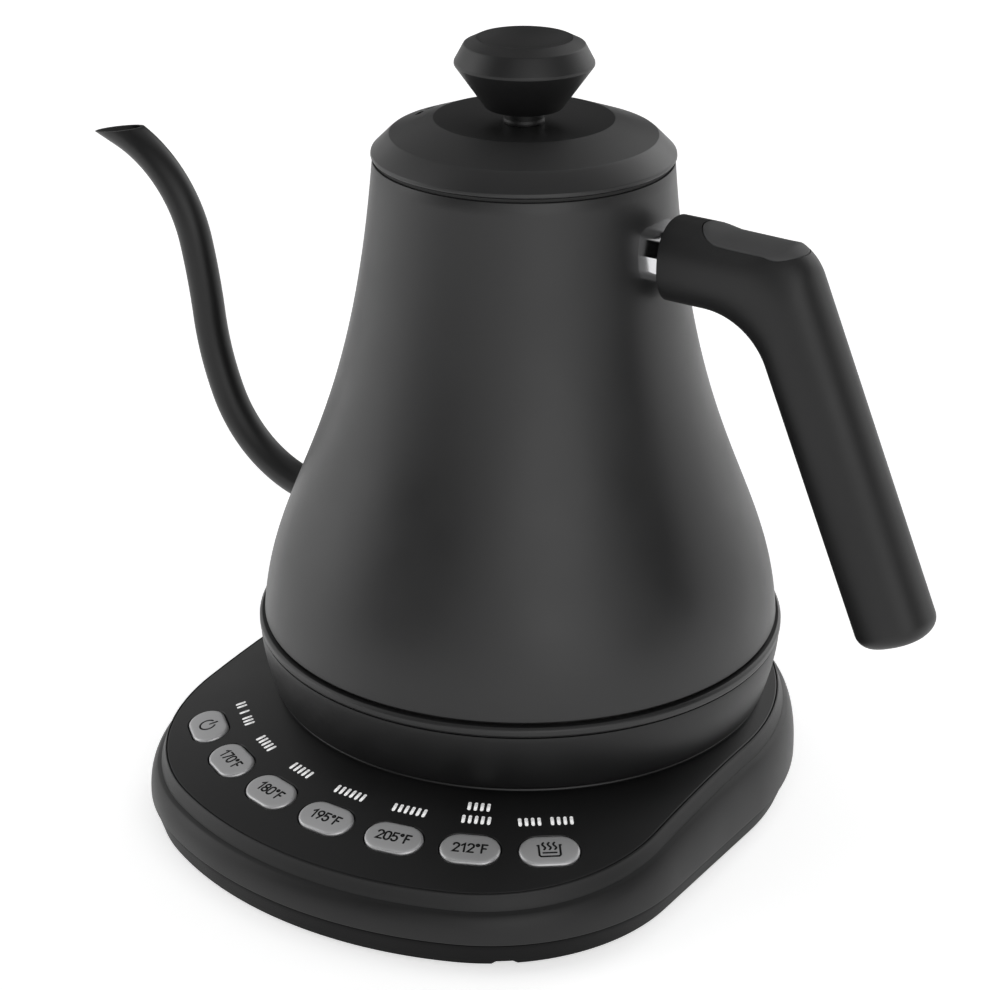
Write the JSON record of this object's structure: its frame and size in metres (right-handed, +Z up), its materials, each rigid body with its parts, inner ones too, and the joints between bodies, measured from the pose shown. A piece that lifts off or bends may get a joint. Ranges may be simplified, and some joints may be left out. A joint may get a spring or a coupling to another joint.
{
  "type": "electric kettle",
  "caption": "Gooseneck electric kettle with a lift-off lid and a side handle, standing on its powered base with a row of temperature buttons.",
  "frame": {"origin": "on the kettle's vertical axis, at the table", "axes": "+Z up; +X to the handle, -X to the spout, -Y to the buttons"},
  "size_m": [0.2639, 0.1827, 0.2022],
  "materials": {
    "black_paint": "matt black, fine grain",
    "black_panel": "matt black panel with pale print",
    "black_plastic": "matt moulded plastic",
    "rubber_feet": "matt rubber",
    "screw_steel": "zinc-plated",
    "grey_plastic": "moulded plastic",
    "circuit_board": "green solder mask",
    "switch_metal": "stamped",
    "led_resin": "clear resin",
    "chip_resin": "moulded resin",
    "blue_plastic": "moulded",
    "amber_tape": "taped winding",
    "green_plastic": "moulded",
    "contact_brass": "plated",
    "painted_steel": "matt black powder coat",
    "inner_steel": "brushed stainless steel",
    "spreader_aluminium": "rolled",
    "silicone": "pale silicone",
    "silicone_black": "black silicone",
    "polished_steel": "polished stainless steel",
    "grip_plastic": "fine grained plastic",
    "rest_plastic": "fine grained plastic",
    "knob_plastic": "fine grained plastic",
    "button_silver": "satin silver paint"
  },
  "bodies": {
    "base": {"base_housing": "black_paint", "control_panel": "black_panel", "bottom_cover": "black_plastic", "base_feet": "rubber_feet", "base_screws": "screw_steel", "screw_bosses": "grey_plastic", "control_board": "circuit_board", "board_posts": "grey_plastic", "tact_switches": "switch_metal", "indicator_leds": "led_resin", "driver_chips": "chip_resin", "buzzer": "chip_resin", "power_board": "circuit_board", "power_relay": "blue_plastic", "power_capacitor": "blue_plastic", "power_transformer": "amber_tape", "terminal_block": "green_plastic", "cord_gland": "rubber_feet", "base_connector": "black_plastic", "connector_contacts": "contact_brass"},
    "button_power": {"button_power": "button_silver"},
    "button_temp_1": {"button_temp_1": "button_silver"},
    "button_temp_2": {"button_temp_2": "button_silver"},
    "button_temp_3": {"button_temp_3": "button_silver"},
    "button_temp_4": {"button_temp_4": "button_silver"},
    "button_temp_5": {"button_temp_5": "button_silver"},
    "button_hold": {"button_hold": "button_silver"},
    "coupler": {"coupler_socket": "black_plastic", "socket_contacts": "contact_brass"},
    "kettle": {"kettle_body": "painted_steel", "trim_ring": "painted_steel", "bottom_skirt": "black_paint", "heater_plate": "inner_steel", "heater_spreader": "spreader_aluminium", "heating_element": "inner_steel", "bottom_gasket": "silicone", "thermal_cutout": "chip_resin", "temperature_sensor": "inner_steel", "skirt_screws": "screw_steel", "skirt_posts": "grey_plastic", "gooseneck_spout": "painted_steel", "handle_bracket": "polished_steel", "handle_grip": "grip_plastic", "thumb_rest": "rest_plastic"},
    "lid": {"lid_cover": "painted_steel", "lid_seal": "silicone_black", "lid_liner": "inner_steel", "knob_stem": "grip_plastic", "lid_knob": "knob_plastic", "knob_screw": "screw_steel", "knob_washer": "screw_steel"}
  },
  "joints": [
    {"name": "button_power_press", "type": "slide", "parent": "base", "child": "button_power", "axis": [0.1362, 0.1715, -0.9757], "range_m": [0, 0.0005], "stiffness_N_per_m": 800, "springref_m": -0.0008},
    {"name": "button_temp_1_press", "type": "slide", "parent": "base", "child": "button_temp_1", "axis": [0.0947, 0.1974, -0.9757], "range_m": [0, 0.0005], "stiffness_N_per_m": 800, "springref_m": -0.0008},
    {"name": "button_temp_2_press", "type": "slide", "parent": "base", "child": "button_temp_2", "axis": [0.0486, 0.2135, -0.9757], "range_m": [0, 0.0005], "stiffness_N_per_m": 800, "springref_m": -0.0008},
    {"name": "button_temp_3_press", "type": "slide", "parent": "base", "child": "button_temp_3", "axis": [0, 0.219, -0.9757], "range_m": [0, 0.0005], "stiffness_N_per_m": 800, "springref_m": -0.0008},
    {"name": "button_temp_4_press", "type": "slide", "parent": "base", "child": "button_temp_4", "axis": [-0.0486, 0.2135, -0.9757], "range_m": [0, 0.0005], "stiffness_N_per_m": 800, "springref_m": -0.0008},
    {"name": "button_temp_5_press", "type": "slide", "parent": "base", "child": "button_temp_5", "axis": [-0.0947, 0.1974, -0.9757], "range_m": [0, 0.0005], "stiffness_N_per_m": 800, "springref_m": -0.0008},
    {"name": "button_hold_press", "type": "slide", "parent": "base", "child": "button_hold", "axis": [-0.1362, 0.1715, -0.9757], "range_m": [0, 0.0005], "stiffness_N_per_m": 800, "springref_m": -0.0008},
    {"name": "kettle_lift", "type": "slide", "parent": "base", "child": "coupler", "axis": [0, 0, 1], "range_m": [0, 0.1]},
    {"name": "kettle_turn", "type": "hinge", "parent": "coupler", "child": "kettle", "pos_m": [0, 0, 0.035], "axis": [0, 0, 1], "continuous": true},
    {"name": "lid_lift", "type": "slide", "parent": "kettle", "child": "lid", "axis": [0, 0, 1], "range_m": [0, 0.06]}
  ]
}
